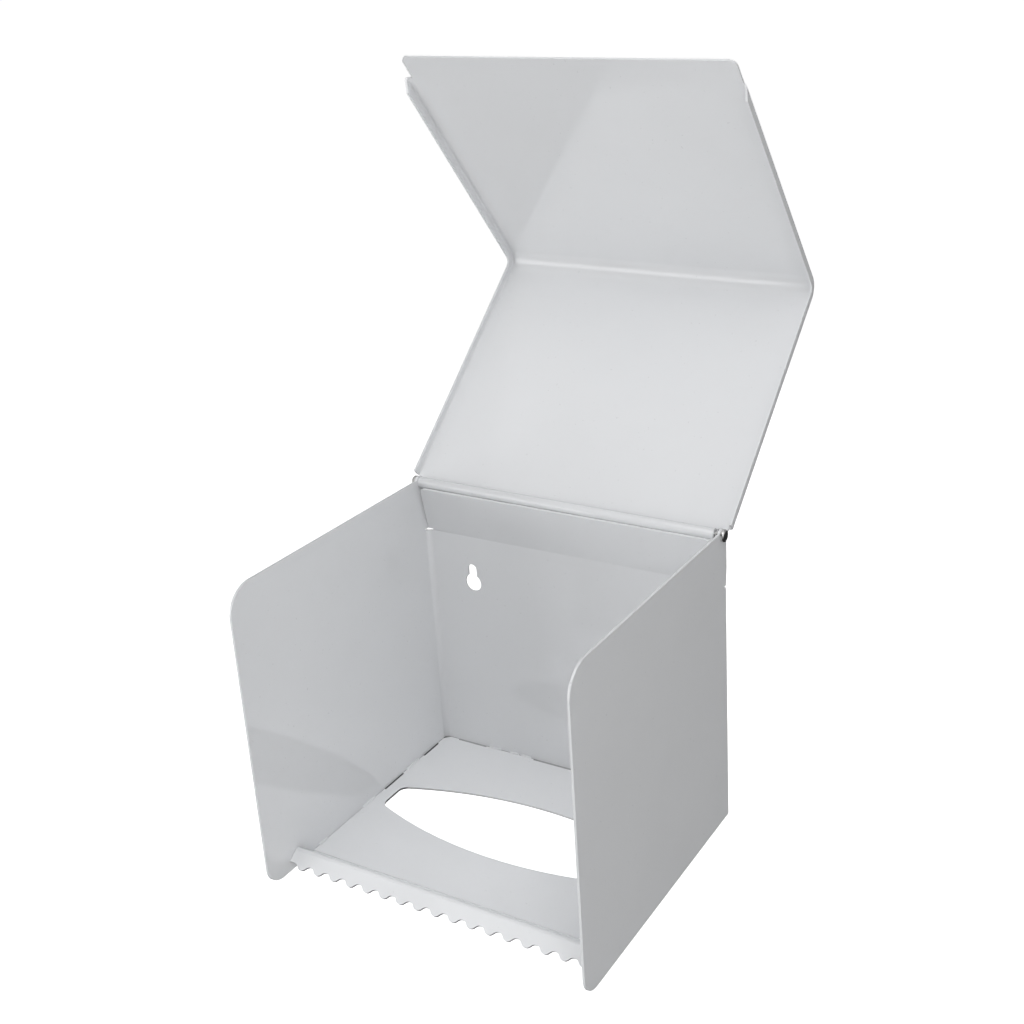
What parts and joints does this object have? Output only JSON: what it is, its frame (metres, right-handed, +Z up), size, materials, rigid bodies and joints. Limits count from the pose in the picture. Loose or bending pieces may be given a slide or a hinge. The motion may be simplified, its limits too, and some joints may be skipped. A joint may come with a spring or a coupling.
{
  "type": "wall-mounted paper and bag dispenser",
  "caption": "Folded sheet steel wall dispenser box with keyholes, a lens-shaped outlet, a toothed tear ridge and a hinged L-shaped lid shown open.",
  "frame": {"origin": "midway between the two keyhole entry holes, on the rear face that rests on the wall", "axes": "+X to the right seen from the front, +Y into the wall, +Z up"},
  "size_m": [0.1421, 0.1992, 0.29],
  "materials": {
    "white_coat": "gloss",
    "bright_steel": "polished"
  },
  "bodies": {
    "box": {"housing": "white_coat", "base_plate": "white_coat", "base_welds": "white_coat", "hinge_rod": "bright_steel", "rod_cap": "bright_steel"},
    "lid": {"lid": "white_coat"}
  },
  "joints": [
    {"name": "lid_hinge", "type": "hinge", "parent": "box", "child": "lid", "pos_m": [0, -0.0037, 0.04285], "axis": [1, 0, 0], "range_deg": [0, 139.5]}
  ]
}
